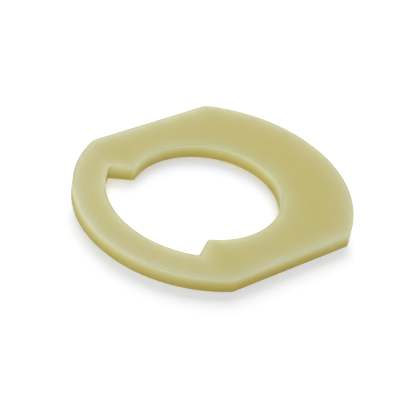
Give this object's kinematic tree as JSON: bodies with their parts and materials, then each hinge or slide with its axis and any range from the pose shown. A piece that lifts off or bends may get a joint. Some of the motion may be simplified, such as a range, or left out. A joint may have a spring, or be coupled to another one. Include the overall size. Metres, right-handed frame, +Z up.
{
  "type": "shift lever spacer",
  "caption": "Flat moulded spacer plate with round ends, parallel flats and a keyed through hole that seats round a lever's hub.",
  "frame": {"origin": "on the axis of the hole's round seat, at the plate's underside", "axes": "+X along the plate's centre line towards its wide end, +Y across the two flats, +Z up along the hole's axis; the plate lies on z = 0"},
  "size_m": [0.053, 0.0454, 0.003],
  "materials": {
    "nylon": "natural, slightly translucent, fine moulded texture"
  },
  "bodies": {
    "root": {"spacer": "nylon"}
  },
  "joints": []
}
